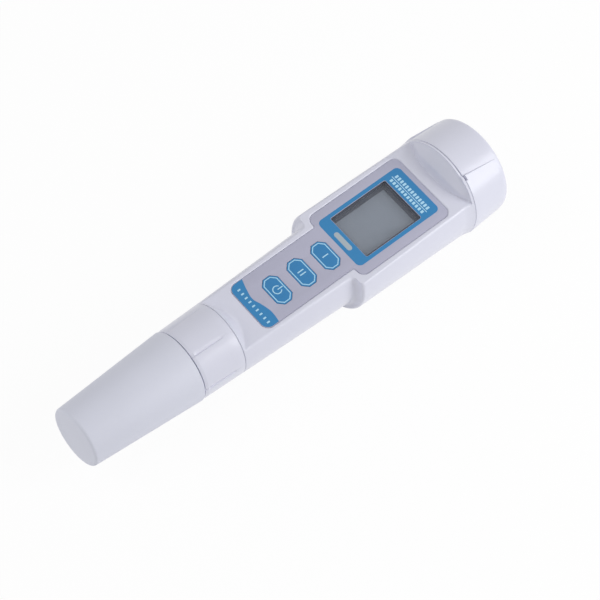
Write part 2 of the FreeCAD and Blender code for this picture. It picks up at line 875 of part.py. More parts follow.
def probe_guard():
    tip = module_face - guard_reach
    guard = tube(tip, guard_radius, guard_radius - guard_wall, guard_reach)
    length = guard_reach - 2 * guard_hoop
    width = 2 * guard_window_half_width
    for span_y, span_z in ((2 * far, width), (width, 2 * far)):
        guard = guard.cut(Part.makeBox(length, span_y, span_z,
                                       Vector(tip + guard_hoop, -span_y / 2, -span_z / 2)))
    return guard


def cap_seat_sleeve():
    sleeve = tube(cap_seat_start, cap_seat_radius, module_radius, cap_seat_length)
    middle = cap_seat_start + cap_seal_offset
    half = cap_seal_section + 0.1
    inner = cap_inner_radius(middle) - 2 * cap_seal_section - 2 * contact_clearance
    return sleeve.cut(tube(middle - half, cap_seat_radius + 1, inner, 2 * half))


def cap_seal():
    middle = cap_seat_start + cap_seal_offset
    return seal(middle, cap_inner_radius(middle) - cap_seal_section - contact_clearance, cap_seal_section)


def main():
    nodes = {
        "barrel_housing": barrel_housing(),
        "front_label": front_label(),
        "display_lens": display_lens(),
        "lcd_bezel": lcd_bezel(),
        "lcd_glass": lcd_glass(),
        "lcd_reflector": lcd_reflector(),
        "contact_strips": contact_strips(),
        "main_board": main_board(),
        "controller_chip": controller_chip(),
        "tact_switches": tact_switches(),
        "board_screws": board_screws(),
        "inner_chassis": inner_chassis(),
        "probe_socket": barrel_socket(),
        "neck_sleeve": neck_sleeve(),
        "neck_seal": neck_seal(),
        "battery_holder": battery_holder(),
        "button_cells": button_cells(),
        "cell_springs": cell_springs(),
        "calibration_board": calibration_board(),
        "trimmer_bodies": trimmer_bodies(),
        "battery_cap": battery_cap(),
        "cap_contact_disc": cap_contact_disc(),
        "cap_pressure_pad": cap_pressure_pad(),
        "lock_ring": lock_ring(),
        "protective_cap": protective_cap(),
        "storage_sponge": storage_sponge(),
        "module_housing": module_housing(),
        "cap_seat_sleeve": cap_seat_sleeve(),
        "cap_seal": cap_seal(),
        "plug_seal": plug_seal(),
        "contact_pins": contact_pins(),
        "probe_guard": probe_guard(),
        "ph_glass": ph_glass(),
        "temperature_tube": temperature_tube(),
        "conductivity_pins": conductivity_pins(),
        "reference_junction": reference_junction(),
    }
    for name, place in zip(("power", "mode", "unit"), key_places):
        nodes[name + "_key"] = key_cap(place)
        nodes[name + "_switch_stem"] = switch_stem(place)
    for index, name in enumerate(("left", "right")):
        nodes[name + "_trimmer_rotor"] = trimmer_rotor(index)
    os.makedirs("parts", exist_ok=True)
    for name, shape in nodes.items():
        shape.translate(Vector(-overall_length / 2, 0, resting_height))
        shape.exportStep("parts/" + name + ".step")
        print(name, len(shape.Solids), "solids", round(shape.Volume, 2), "mm3", shape.isValid())


main()
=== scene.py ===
import json
import math

import bmesh
import bpy
import numpy as np
from mathutils import Matrix, Vector


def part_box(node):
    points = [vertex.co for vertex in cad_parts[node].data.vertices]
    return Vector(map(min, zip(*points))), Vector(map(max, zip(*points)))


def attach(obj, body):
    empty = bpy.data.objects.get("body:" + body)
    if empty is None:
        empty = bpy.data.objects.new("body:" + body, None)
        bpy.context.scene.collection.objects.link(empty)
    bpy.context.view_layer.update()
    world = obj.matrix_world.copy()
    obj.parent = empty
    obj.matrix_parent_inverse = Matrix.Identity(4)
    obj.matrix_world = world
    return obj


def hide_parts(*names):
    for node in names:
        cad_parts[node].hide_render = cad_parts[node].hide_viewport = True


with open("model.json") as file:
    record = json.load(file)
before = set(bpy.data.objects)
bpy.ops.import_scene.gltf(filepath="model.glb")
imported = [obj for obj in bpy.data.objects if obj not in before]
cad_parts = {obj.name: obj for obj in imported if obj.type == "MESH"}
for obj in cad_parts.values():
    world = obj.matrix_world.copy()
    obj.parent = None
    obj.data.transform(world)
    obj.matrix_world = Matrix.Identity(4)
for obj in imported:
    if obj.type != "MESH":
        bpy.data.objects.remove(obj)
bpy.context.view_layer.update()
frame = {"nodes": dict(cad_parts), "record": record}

print("frame loaded")

mm = 0.001
seamGap = 0.3                    # between the barrel and what turns on either end of it, in mm

# Lengths below are in mm. x counts from the seam between lock ring and barrel, z from the probe axis.
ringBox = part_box("lock_ring")
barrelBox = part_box("barrel_housing")
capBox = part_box("battery_cap")
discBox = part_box("cap_contact_disc")
seamX = ringBox[1].x / mm + seamGap
axisZ = (ringBox[0].z + ringBox[1].z) / 2 / mm
axisRise = (discBox[0].z + discBox[1].z) / 2 / mm - axisZ
backLevel = capBox[0].z / mm - axisZ         # the narrow flat along the back, which the tester lies on
barrelLength = barrelBox[1].x / mm - seamX

face = {"height": 7.97, "slope": math.radians(2.4), "wall": 2.2}
faceToRow = (Matrix.Translation(Vector((seamX, 0, axisZ + face["height"])) * mm)
             @ Matrix.Rotation(-face["slope"], 4, "Y"))


def toRow(x, y, z):
    return (x + seamX) * mm, y * mm, (z + axisZ) * mm


def faceHeight(x):
    return face["height"] + x * math.tan(face["slope"])


def alongRow(box):               # where a box starts and ends along x
    return box[0].x / mm - seamX, box[1].x / mm - seamX


def alongFace(node):             # a node's place in face coordinates: middle and half size, along and across
    low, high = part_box(node)
    half = (high - low) / 2
    middle = faceToRow.inverted() @ ((low + high) / 2)
    return middle.x / mm, middle.y / mm, half.x / mm / math.cos(face["slope"]), half.y / mm


# Meshes

def placed(name, data):
    made = bpy.data.objects.new(name, data)
    bpy.context.scene.collection.objects.link(made)
    return made


def meshOf(piece):               # the piece's mesh with its modifiers worked out
    bpy.context.view_layer.update()
    return bpy.data.meshes.new_from_object(piece.evaluated_get(bpy.context.evaluated_depsgraph_get()))


def finished(name, mesh, body, sharp=30):
    mesh.name = name
    mesh.shade_smooth()
    mesh.set_sharp_from_angle(angle=math.radians(sharp))
    piece = placed(name, mesh)
    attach(piece, body)
    return piece


def cleaned(mesh, weld=1e-8):
    work = bmesh.new()
    work.from_mesh(mesh)
    bmesh.ops.remove_doubles(work, verts=work.verts, dist=weld)
    bmesh.ops.recalc_face_normals(work, faces=work.faces)
    work.to_mesh(mesh)
    work.free()
    return mesh


def bandMesh(points, count, endCaps):
    # Quads between rings of equally many points; the first and last ring may each be closed by a face.
    size = len(points) // count
    faces = [(i * size + j, i * size + (j + 1) % size, (i + 1) * size + (j + 1) % size, (i + 1) * size + j)
             for i in range(count - 1) for j in range(size)]
    if endCaps:
        faces.append(tuple(range(size - 1, -1, -1)))
        faces.append(tuple((count - 1) * size + j for j in range(size)))
    mesh = bpy.data.meshes.new("bands")
    mesh.from_pydata(points, [], faces)
    return cleaned(mesh)


def skinMesh(rings, endCaps=True):
    rings = np.asarray(rings, float)
    return bandMesh([toRow(*p) for p in rings.reshape(-1, 3)], len(rings), endCaps)


def loopMesh(rings):
    # The last ring joins the first: a wall that goes out along the outside and back inside.
    return skinMesh(list(rings) + [rings[0]], endCaps=False)


def levelMesh(outlineAt, levels, endCaps=True):
    # Rings from levels of (grow, height out of the face) of one outline on the face.
    points = [tuple(faceToRow @ Vector((u * mm, v * mm, level * mm)))
              for grow, level in levels for u, v in outlineAt(grow)]
    return bandMesh(points, len(levels), endCaps)


def circleRing(x, radius, rise=0.0, angles=None):
    turns = np.linspace(0, 2 * math.pi, 192, endpoint=False) if angles is None else angles
    across, up = -radius * np.sin(turns), rise + radius * np.cos(turns)
    return np.stack([np.full(len(turns), float(x)), across, up], 1)


def arcSteps(start, end, steps=6):
    return [start + (end - start) * i / steps for i in range(steps + 1)]


def cornerArc(before, corner, after, rounding, steps):
    # Points of the arc that rounds a corner between its two neighbours.
    here = Vector(corner[:2])
    back, ahead = ((Vector(point[:2]) - here).normalized() for point in (before, after))
    half = math.acos(max(-1, min(1, back.dot(ahead)))) / 2
    reach = rounding / math.tan(half)
    centre = here + (back + ahead).normalized() * rounding / math.sin(half)
    first, last = here + back * reach - centre, here + ahead * reach - centre
    return [tuple(centre + first.slerp(last, t).normalized() * rounding) for t in arcSteps(0, 1, steps)]


def roundedProfile(corners, steps=6):
    # Open line through (x, radius, rounding) corners, with a tangent arc at each rounded one.
    line = []
    for i, (x, r, rounding) in enumerate(corners):
        if rounding == 0 or i in (0, len(corners) - 1):
            line.append((x, r))
        else:
            line += cornerArc(corners[i - 1], corners[i], corners[i + 1], rounding, steps)
    return line


def easeStep(t):
    t = np.clip(t, 0, 1)
    return t * t * (3 - 2 * t)


def softMin(a, b, k):
    blend = np.maximum(k - np.abs(a - b), 0) / np.maximum(k, 1e-9)
    return np.minimum(a, b) - blend * blend * k / 4


def softMax(a, b, k):
    return -softMin(-a, -b, k)


def threadWave(x, turns, pitch):
    # 1 on the crest and 0 in the groove of a rounded screw thread.
    phase = (x / pitch + turns / (2 * math.pi)) % 1
    return easeStep(2.4 * (np.abs(phase - 0.5) * 2 - 0.25))


# Outlines on the front face: lists of (along, across)

def roundedOutline(corners, steps=8):
    # Closed outline through (along, across, rounding) corners, always with the same count of points.
    line = []
    for i, corner in enumerate(corners):
        after = corners[(i + 1) % len(corners)]
        line += cornerArc(corners[i - 1], corner, after, max(corner[2], 1e-3), steps)
    return line


def smoothLine(points, steps=8):
    # Curve through all the points, with its ends left as they are.
    ends = [points[0], *points, points[-1]]
    line = []
    for before, first, last, after in zip(ends, ends[1:], ends[2:], ends[3:]):
        for t in arcSteps(0, 1, steps)[:-1]:
            line.append(tuple(0.5 * (2 * b + (c - a) * t + (2 * a - 5 * b + 4 * c - d) * t * t
                                     + (3 * b - a - 3 * c + d) * t ** 3)
                              for a, b, c, d in zip(before, first, last, after)))
    return line + [points[-1]]


def boxOutline(start, end, left, right, rounding, grow=0.0):
    r = rounding + grow
    return roundedOutline([(start - grow, left - grow, r), (end + grow, left - grow, r),
                           (end + grow, right + grow, r), (start - grow, right + grow, r)])


def plateMesh(outlines, top, thickness, edge=0.0):
    # Flat plate on the face: the first outline is its edge and the others are holes; edge rounds the rims.
    shape = bpy.data.curves.new("plate", "CURVE")
    shape.dimensions = "2D"
    shape.fill_mode = "BOTH"
    shape.extrude = (thickness / 2 - edge) * mm
    shape.bevel_depth = edge * mm
    shape.bevel_resolution = 2
    shape.offset = -edge * mm
    for outline in outlines:
        spline = shape.splines.new("POLY")
        spline.points.add(len(outline) - 1)
        for point, (u, v) in zip(spline.points, outline):
            point.co = (u * mm, v * mm, 0, 1)
        spline.use_cyclic_u = True
    holder = placed("plate", shape)
    mesh = meshOf(holder)
    bpy.data.objects.remove(holder)
    bpy.data.curves.remove(shape)
    mesh.transform(faceToRow @ Matrix.Translation((0, 0, (top - thickness / 2) * mm)))
    return cleaned(mesh, 1e-7)


def cutAway(piece, cutters):
    tools = []
    for mesh in cutters:
        tool = placed("cutter", mesh)
        step = piece.modifiers.new("cut", "BOOLEAN")
        step.operation = "DIFFERENCE"
        step.solver = "EXACT"
        step.object = tool
        tools.append(tool)
    mesh = meshOf(piece)
    piece.modifiers.clear()
    piece.data = mesh
    for tool in tools:
        bpy.data.objects.remove(tool)
    return piece


# Materials. A wire is one socket of a node tree, and arithmetic on wires adds the nodes for it.

class Wire:
    def __init__(self, tree, socket=None):
        self.tree, self.socket = tree, socket

    def node(self, kind, settings=None, inputs=None, output=0):
        made = self.tree.nodes.new("ShaderNode" + kind)
        for name, value in (settings or {}).items():
            setattr(made, name, value)
        plugIn(made, inputs or {})
        return Wire(self.tree, made.outputs[output])

    def math(self, operation, *others):
        return self.node("Math", {"operation": operation}, dict(enumerate((self, *others))))

    def __add__(self, other):
        return self.math("ADD", other)

    def __mul__(self, other):
        return self.math("MULTIPLY", other)

    def __rsub__(self, other):
        return self.node("Math", {"operation": "SUBTRACT"}, {0: other, 1: self})

    __radd__, __rmul__ = __add__, __mul__

    def between(self, first, last):              # a colour from first to last as the wire goes from 0 to 1
        return self.node("Mix", {"data_type": "RGBA"}, {0: self, 6: first, 7: last}, 2)


def plugIn(target, values):
    for name, value in values.items():
        if isinstance(value, Wire):
            target.id_data.links.new(value.socket, target.inputs[name])
        else:
            target.inputs[name].default_value = value


def tint(red, green, blue, gain=1.0):            # a colour as it is seen, 0 to 255, as Blender wants it
    parts = [v / 255 * gain for v in (red, green, blue)]
    return tuple(v / 12.92 if v < 0.04045 else ((v + 0.055) / 1.055) ** 2.4 for v in parts) + (1.0,)


def newFinish(name, make, color, settings):
    made = bpy.data.materials.new(name)
    made.use_nodes = True
    tree = made.node_tree
    place = Wire(tree).node("TexCoord", output="Object")
    plugIn(tree.nodes["Principled BSDF"], make(place, color, **settings))
    return made


def speckle(place, size, detail=2.0, rough=0.5):  # cloudy noise from 0 to 1; size in mm
    return place.node("TexNoise", {}, {"Vector": place, "Scale": 1 / (size * mm),
                                       "Detail": detail, "Roughness": rough})


def stretched(place, *scale):
    return place.node("Mapping", {}, {"Vector": place, "Scale": scale})


def relief(place, height, depth, strength=1.0):   # depth in mm
    return place.node("Bump", {}, {"Height": height, "Distance": depth * mm, "Strength": strength})


def mouldedPlastic(place, color, gloss=0.3, spread=0.03, coat=0.0, grain=0.006, grainSize=0.35):
    # Moulded plastic: slow drift of shade, uneven gloss, a fine skin from the tool, and a few faint scuffs.
    drift = speckle(place, 24.0, 1.0)
    cloud = speckle(place, 1.6, 4.0, 0.6)
    skin = speckle(place, grainSize, 2.0)
    scuff = speckle(stretched(place, 0.35, 2.4, 2.4), 1.1, 3.0, 0.7)
    worn = scuff.node("MapRange", {}, {"Value": scuff, "From Min": 0.62, "From Max": 0.8})
    lighter, darker = tint(*color, gain=1 + spread / 2), tint(*color, gain=1 - spread / 2)
    return {
        "Base Color": (drift * 0.7 + cloud * 0.3).between(darker, lighter),
        "Roughness": cloud * 0.08 + worn * 0.12 + (gloss - 0.04),
        "Normal": relief(place, skin + worn * 0.3, grain),
        "Coat Weight": coat, "Coat Roughness": 0.08, "IOR": 1.5}


def printedFilm(place, color, gloss=0.42, spread=0.03, emboss=0.012, pitch=0.28):
    # Polyester film with a fine embossed grain over the ink.
    grain = place.node("TexVoronoi", {"feature": "SMOOTH_F1"}, {"Vector": place, "Scale": 1 / (pitch * mm)})
    cloud = speckle(place, 9.0, 3.0)
    dots = speckle(place, 0.5, 2.0)
    return {
        "Base Color": (cloud * 0.6 + dots * 0.4).between(tint(*color, gain=1 - spread),
                                                         tint(*color, gain=1 + spread / 2)),
        "Roughness": grain * 0.10 + cloud * 0.06 + (gloss - 0.06),
        "Normal": relief(place, grain, emboss),
        "IOR": 1.5}


def clearPane(place, color, alpha=0.14, gloss=0.04):
    # Clear pane: mostly see-through, with faint haze and a polished skin.
    haze = speckle(place, 7.0, 3.0)
    smear = speckle(stretched(place, 1.0, 0.25, 1.0), 2.2, 3.0)
    return {
        "Base Color": haze.between(tint(*color, gain=0.94), tint(*color)),
        "Roughness": smear * 0.06 + gloss,
        "Alpha": haze * 0.04 + (alpha - 0.02),
        "Normal": relief(place, smear, 0.004),
        "IOR": 1.49}


def liquidCrystal(place, color):
    # Display glass at rest: a grey pane with a faint cell structure.
    cloud = speckle(place, 14.0, 2.0)
    cells = place.node("TexVoronoi", {"feature": "F1", "distance": "CHEBYCHEV"},
                       {"Vector": place, "Scale": 1 / (0.45 * mm), "Randomness": 0.0})
    return {
        "Base Color": (cloud * 0.7 + cells * 0.4).between(tint(*color, gain=0.96), tint(*color, gain=1.04)),
        "Roughness": cells * 0.08 + 0.26,
        "Normal": relief(place, cells, 0.002),
        "IOR": 1.52}


def metal(place, color, gloss=0.25, brushed=0.4, metallic=1.0):
    # Drawn or turned metal: fine lines along x and soft tarnish.
    lines = speckle(stretched(place, 0.05, 1.0, 1.0), 0.12, 2.0)
    tarnish = speckle(place, 2.5, 3.0)
    return {
        "Base Color": tarnish.between(tint(*color, gain=0.86), tint(*color)),
        "Roughness": lines * brushed * 0.3 + tarnish * 0.12 + gloss,
        "Metallic": metallic - tarnish * 0.08,
        "Normal": relief(place, lines, 0.004 * brushed)}


def rubber(place, color, gloss=0.62):
    # Moulded rubber: dull, with a dusting of bloom.
    bloom = speckle(place, 1.2, 4.0, 0.65)
    skin = speckle(place, 0.25, 2.0)
    return {
        "Base Color": bloom.between(tint(*color), tint(*(v + 26 for v in color))),
        "Roughness": bloom * 0.16 + gloss,
        "Normal": relief(place, skin, 0.02)}


def foam(place, color):
    # Open-cell foam: round pores, with painted shade darkening them towards the bottom.
    pores = place.node("TexVoronoi", {"feature": "F1"}, {"Vector": place, "Scale": 1 / (0.5 * mm)})
    cloud = speckle(place, 2.5, 3.0)
    depth = pores.node("MapRange", {}, {"Value": pores, "From Min": 0.05, "From Max": 0.5})
    return {
        "Base Color": (depth * 0.75 + cloud * 0.25).between(tint(*color, gain=0.62), tint(*color)),
        "Roughness": 0.96 - cloud * 0.08,
        "Normal": relief(place, depth, 0.14)}


def circuitBoard(place, color):
    # Solder mask over glass weave, with copper tracks that show through as lighter bands.
    weaveX, weaveY = (place.node("TexWave", {"wave_type": "BANDS", "bands_direction": way},
                                 {"Vector": place, "Scale": 1 / (2.2 * mm)}) for way in "XY")
    tracks = place.node("TexVoronoi", {"feature": "DISTANCE_TO_EDGE"},
                        {"Vector": place, "Scale": 1 / (3.4 * mm), "Randomness": 0.55})
    copper = tracks.math("LESS_THAN", 0.06)
    weave = weaveX * weaveY
    return {
        "Base Color": (copper * 0.8 + weave * 0.2).between(tint(*color), tint(*(v + 30 for v in color))),
        "Roughness": copper * -0.08 + weaveX * 0.05 + 0.36,
        "Normal": relief(place, weave * 0.5 + copper, 0.02)}


finishLooks = {
    "shell_plastic": (mouldedPlastic, (217, 218, 232), {"coat": 0.15}),
    "cap_plastic": (mouldedPlastic, (216, 218, 231), {"gloss": 0.5}),
    "inner_plastic": (mouldedPlastic, (206, 208, 214), {"gloss": 0.42, "grain": 0.012}),
    # bezel_plastic: the bezel's own dark grey, deepened further as painted shade for the window walls and ledge
    "bezel_plastic": (mouldedPlastic, (58, 60, 74), {"gloss": 0.55, "grain": 0.01}),
    "probe_plastic": (mouldedPlastic, (44, 45, 48), {"gloss": 0.4, "spread": 0.12, "grain": 0.015}),
    "stem_plastic": (mouldedPlastic, (222, 221, 216), {"gloss": 0.4}),
    "trimmer_blue": (mouldedPlastic, (52, 96, 176), {"gloss": 0.4, "spread": 0.08}),
    "black_epoxy": (mouldedPlastic, (38, 38, 40), {"gloss": 0.5, "spread": 0.15, "grain": 0.02,
                                                   "grainSize": 0.15}),
    "label_film": (printedFilm, (180, 180, 200), {}),
    "key_blue": (printedFilm, (46, 126, 182), {}),
    "white_film": (printedFilm, (226, 228, 228), {"gloss": 0.55}),
    "clear_window": (clearPane, (186, 194, 206), {"alpha": 0.09}),
    "sensor_glass": (clearPane, (228, 240, 246), {"alpha": 0.3}),
    "lcd_panel": (liquidCrystal, (132, 140, 152), {}),
    "grey_rubber": (rubber, (88, 88, 92), {}),
    "seal_rubber": (rubber, (34, 34, 36), {}),
    "board_laminate": (circuitBoard, (24, 92, 58), {}),
    "steel": (metal, (206, 208, 212), {"gloss": 0.24}),
    "cell_steel": (metal, (214, 216, 220), {"gloss": 0.14, "brushed": 0.2}),
    "spring_metal": (metal, (214, 206, 180), {"gloss": 0.26}),
    "brass": (metal, (214, 182, 104), {"gloss": 0.24}),
    "sponge_foam": (foam, (238, 222, 160), {}),
    "frame_blue_ink": (printedFilm, (46, 130, 186), {"gloss": 0.34, "spread": 0.04}),
    "key_line_ink": (printedFilm, (166, 216, 243), {"gloss": 0.38, "spread": 0.02}),
    "mark_pale_ink": (printedFilm, (176, 220, 242), {"gloss": 0.4, "spread": 0.02}),
    "pill_grey_ink": (printedFilm, (170, 182, 190), {"gloss": 0.4, "spread": 0.02}),
}
finishes = {name: newFinish(name, *look) for name, look in finishLooks.items()}
slotOf = {part["node"]: part["material_slot"] for part in frame["record"]["subparts"]}


def paint(piece, finish):
    piece.data.materials.clear()
    piece.data.materials.append(finish)


# Barrel

barrel = {
    "startRadius": 14.05, "gripEnd": 48.7, "gripRadius": 15.5, "gripRise": 0.8,
    "displayRadius": 19.3, "displayTaper": 0.2,
    "shoulderFoot": 1.8, "shoulderEdge": 1.1, "shoulderClimb": 3.6,
    "seamEdge": 0.2, "seamLand": 0.35, "rimEdge": 0.2, "rimLand": 0.85,
    "rampLength": 5.0, "rampFoot": 1.6, "flatEdge": 1.0,
    "scoopLength": 4.5, "scoopBow": 4.1, "scoopHalfWidth": 15.5, "scoopLip": 0.35,
    "scoopSill": 0.42, "scoopSillRun": 0.14, "scoopFoot": 0.2,
    "flare": 0.8, "flareLength": 4.5, "flareLeft": 0.45,
    "neckLength": 9.6, "neckRadius": 12.1, "neckPitch": 1.5, "neckThread": 0.35,
    "plugBore": 10.38, "plugDepth": 0.9, "bulkhead": 1.5, "socketBore": 5.08,
    "wall": 2.0, "mouthRadius": 17.08, "mouthLip": 0.5,
}
gripSectors = {"middle": 67.0, "span": 82.0, "slant": 4.5}   # degrees, at the seam; slant is their twist


def sectionAt(x):                # radius and height of the centre of the round section at x
    b = barrel
    if x < b["gripEnd"]:
        t = x / b["gripEnd"]
        return b["startRadius"] + t * (b["gripRadius"] - b["startRadius"]), t * b["gripRise"]
    t = (x - b["gripEnd"]) / (barrelLength - b["gripEnd"])
    return b["displayRadius"] - b["displayTaper"] * (1 - t), axisRise


def frontLimit(x, y):            # height of the flat face and of the ramp at each end of it
    b = barrel
    height = np.full_like(y, faceHeight(x))
    flat = faceHeight(b["seamLand"] + b["rampLength"])
    reach = (x - b["seamLand"]) / b["rampLength"]
    cone = b["startRadius"] - (b["startRadius"] - flat) * reach
    if -0.01 <= reach < 1.5:
        ramp = np.sqrt(np.maximum(cone * cone - y * y, 0))
        height = softMax(height, ramp, b["rampFoot"])
    lip = barrelLength - b["rimLand"]
    if x > barrelLength - 2 * b["scoopLength"]:
        bow = b["scoopBow"] * np.minimum(np.abs(y) / b["scoopHalfWidth"], 1) ** 3
        foot = np.minimum(barrelLength - b["scoopLength"] + bow, lip - 0.3)
        climb = np.minimum((x - foot) / (lip - foot), 1)
        sill, run = b["scoopSill"], b["scoopSillRun"]           # a steep sill at the foot, then a gentler wall
        climb = softMin(sill / run * climb, sill + (1 - sill) * (climb - run) / (1 - run), 0.05)
        lipRadius = b["displayRadius"] - b["scoopLip"]
        rise = np.maximum(axisRise + np.sqrt(np.maximum(lipRadius ** 2 - y * y, 0)) - height, 0)
        height = softMax(height, height + rise * climb, np.minimum(b["scoopFoot"], rise))
    return height


def backAngle(radius, rise):     # how far from straight down the back flat ends, 0 where there is none
    return math.acos(min(1, (rise - backLevel) / radius))


def flattenBack(ring, soft=0.5):
    ring[:, 2] = softMax(ring[:, 2], np.full(len(ring), backLevel), soft)
    return ring


def frontAngles(edgeAngle):      # sample angles from the front: few on the flats, many over their edges
    heel = math.pi - backAngle(barrel["displayRadius"], axisRise)
    aroundEdge, aroundHeel = math.radians(6), 0.08
    stops = (0, edgeAngle - aroundEdge, edgeAngle + aroundEdge, heel - aroundHeel, heel + aroundHeel)
    half = np.concatenate([np.linspace(first, last, count)[:-1]
                           for first, last, count in zip(stops, stops[1:], (36, 19, 40, 11))]
                          + [np.linspace(stops[-1], math.pi, 6)])
    return np.concatenate([half, 2 * math.pi - half[-2:0:-1]])


def sectorMask(turns, middle, half, wall):  # 1 inside the two grip sectors that stand opposite each other
    off = np.abs((turns - middle + math.pi / 2) % math.pi - math.pi / 2)
    return easeStep((half - off) / wall + 0.5)


def swellAt(x, radius):          # how far the barrel's end rises to meet the battery cap's grip sectors
    b = barrel
    near = min(max((x - barrelLength) / b["flareLength"] + 1, 0), 1)
    return b["flare"] * near ** 1.6 * easeStep((radius - b["mouthRadius"] - 0.8) / 0.8)


def barrelRing(x, radius, rise, cut="front", drop=0.0, swell=0.0):
    # One section. cut: front follows the flat face and its ramps, flat the face alone, none is round.
    limit = faceHeight(x) - drop
    edgeAngle = math.acos(max(-0.99, min(0.99, (limit - rise) / radius)))
    turns = frontAngles(min(max(edgeAngle, 0.5), 1.6))
    g = gripSectors
    mask = sectorMask(turns, math.radians(g["middle"]), math.radians(g["span"] / 2), math.radians(4))
    reach = radius + swell * mask * np.where(turns > math.pi, barrel["flareLeft"], 1)
    y, z = -reach * np.sin(turns), rise + reach * np.cos(turns)
    if cut == "front":
        nearEnd = min((x - barrel["seamLand"]) / 3, (barrelLength - barrel["rimLand"] - x) / 0.8)
        soft = barrel["flatEdge"] * easeStep(nearEnd)
        z = np.where(np.cos(turns) > -0.2, softMin(z, frontLimit(x, y), soft), z)
    elif cut == "flat":
        z = np.minimum(z, limit)
    return flattenBack(np.stack([np.full(len(turns), float(x)), y, z], 1))


def barrelRings():
    b = barrel
    end = barrelLength
    first, last = b["seamLand"], end - b["rimLand"]
    outward = roundedProfile([(0, b["neckRadius"], 0), (0, b["startRadius"], b["seamEdge"]),
                              (b["seamLand"] + 0.01, b["startRadius"], 0)])
    rings = [barrelRing(x, r, 0, cut="none") for x, r in outward]
    stations = list(np.arange(first, first + b["rampLength"] + 3, 0.25))
    stations += list(np.arange(stations[-1] + 1.5, b["gripEnd"] - b["shoulderFoot"] - 0.3, 1.5))
    rings += [barrelRing(x, *sectionAt(x)) for x in stations]
    gripRadius, gripRise = sectionAt(b["gripEnd"] - 0.001)
    showRadius, showRise = sectionAt(b["gripEnd"] + 0.001)
    foot, edge, climb = b["shoulderFoot"], b["shoulderEdge"], b["shoulderClimb"]
    sweep = roundedProfile([(b["gripEnd"] - foot - 0.2, 0, 0), (b["gripEnd"], 0, foot),
                            (b["gripEnd"], climb, edge), (b["gripEnd"] + edge + 0.3, climb, 0)], steps=9)
    for x, climbed in sweep:
        t = climbed / climb
        rings.append(barrelRing(x, gripRadius + t * (showRadius - gripRadius),
                                gripRise + t * (showRise - gripRise)))
    stations = list(np.arange(b["gripEnd"] + 2.6, end - b["scoopLength"] - 5, 2.0))
    stations += list(np.linspace(stations[-1] + 0.5, last, 42))
    for x in stations:
        radius, rise = sectionAt(x)
        rings.append(barrelRing(x, radius, rise, swell=swellAt(x, radius)))
    rim = roundedProfile([(last, b["displayRadius"], 0), (end, b["displayRadius"], b["rimEdge"]),
                          (end, b["mouthRadius"], 0)])
    for x, r in rim:
        rings.append(barrelRing(x, r, axisRise, cut="none", swell=swellAt(x, r)))
    inner = b["gripRadius"] - b["wall"]
    rings.append(barrelRing(end - b["mouthLip"], b["mouthRadius"], axisRise, cut="none"))
    for x, r, rise in ((end - b["mouthLip"], b["mouthRadius"], axisRise),
                       (b["gripEnd"] + b["wall"], b["mouthRadius"], axisRise),
                       (b["gripEnd"] - b["wall"], inner, b["gripRise"]),
                       (b["plugDepth"] + b["bulkhead"], b["startRadius"] - b["wall"], 0)):
        rings.append(barrelRing(x, r, rise, cut="flat", drop=face["wall"]))
    for x, r in ((b["plugDepth"] + b["bulkhead"], b["socketBore"]), (b["plugDepth"], b["socketBore"]),
                 (b["plugDepth"], b["plugBore"]), (-b["neckLength"], b["plugBore"])):
        rings.append(barrelRing(x, r, 0, cut="none"))
    for x in np.linspace(-b["neckLength"], -0.02, 70):
        ring = barrelRing(x, b["neckRadius"], 0, cut="none")
        turns = np.arctan2(-ring[:, 1], ring[:, 2])
        fade = easeStep((x + b["neckLength"] - 0.3) / 0.8) * easeStep((-x - 1.2) / 0.6)
        depth = b["neckThread"] * fade * (1 - threadWave(x, turns, b["neckPitch"]))
        lead = 0.3 * (1 - easeStep((x + b["neckLength"]) / 0.4))
        radius = b["neckRadius"] - depth - lead
        ring[:, 1], ring[:, 2] = -radius * np.sin(turns), radius * np.cos(turns)
        rings.append(ring)
    return rings


labelShape = {
    "start": 11.4, "endMargin": 9.2, "step": 51.0, "halfWidth": 10.15, "displayHalfWidth": 14.65,
    "corner": 2.8, "notch": 1.0, "sink": 0.12, "thickness": 0.3, "edge": 0.04, "gap": 0.12, "rimRounding": 0.65,
}
labelFloor = labelShape["sink"] + labelShape["thickness"]
lensShape = {"border": 0.9, "thickness": 1.0, "corner": 0.6, "gap": 0.1}
lensMiddle, _, lensHalfLength, lensHalfWidth = alongFace("display_lens")
windowStart = lensMiddle - lensHalfLength + lensShape["border"]
windowEnd = lensMiddle + lensHalfLength - lensShape["border"]
windowHalf = lensHalfWidth - lensShape["border"]
# sizes of the dark sleeve and ledge that paint the shade inside the display window
surround = {"wall": 0.85, "cover": 0.04, "ledge": 1.45, "ledgeRise": 0.1, "ledgeDrop": 0.2, "aboveGlass": 0.06}
keyShape = {"cut": 2.0, "thickness": 0.9, "edge": 0.06, "sink": 0.12, "travel": 0.4, "gap": 0.12,
            "postRadius": 1.5, "postLength": 1.78, "postBore": 1.56}
keyNames = ("power", "mode", "unit")
keyPlace = {name: alongFace(name + "_key") for name in keyNames}


def labelOutline(grow=0.0):
    s = labelShape
    start, end, step = s["start"] - grow, barrelLength - s["endMargin"] + grow, s["step"] - grow
    narrow, wide = s["halfWidth"] + grow, s["displayHalfWidth"] + grow
    corner, notch = s["corner"] + grow, max(s["notch"] - grow, 0.2)
    return roundedOutline([(start, -narrow, corner), (step, -narrow, notch), (step, -wide, corner),
                           (end, -wide, corner), (end, wide, corner), (step, wide, corner),
                           (step, narrow, notch), (start, narrow, corner)])


def windowOutline(grow=0.0):
    return boxOutline(windowStart, windowEnd, -windowHalf, windowHalf, lensShape["corner"], grow)


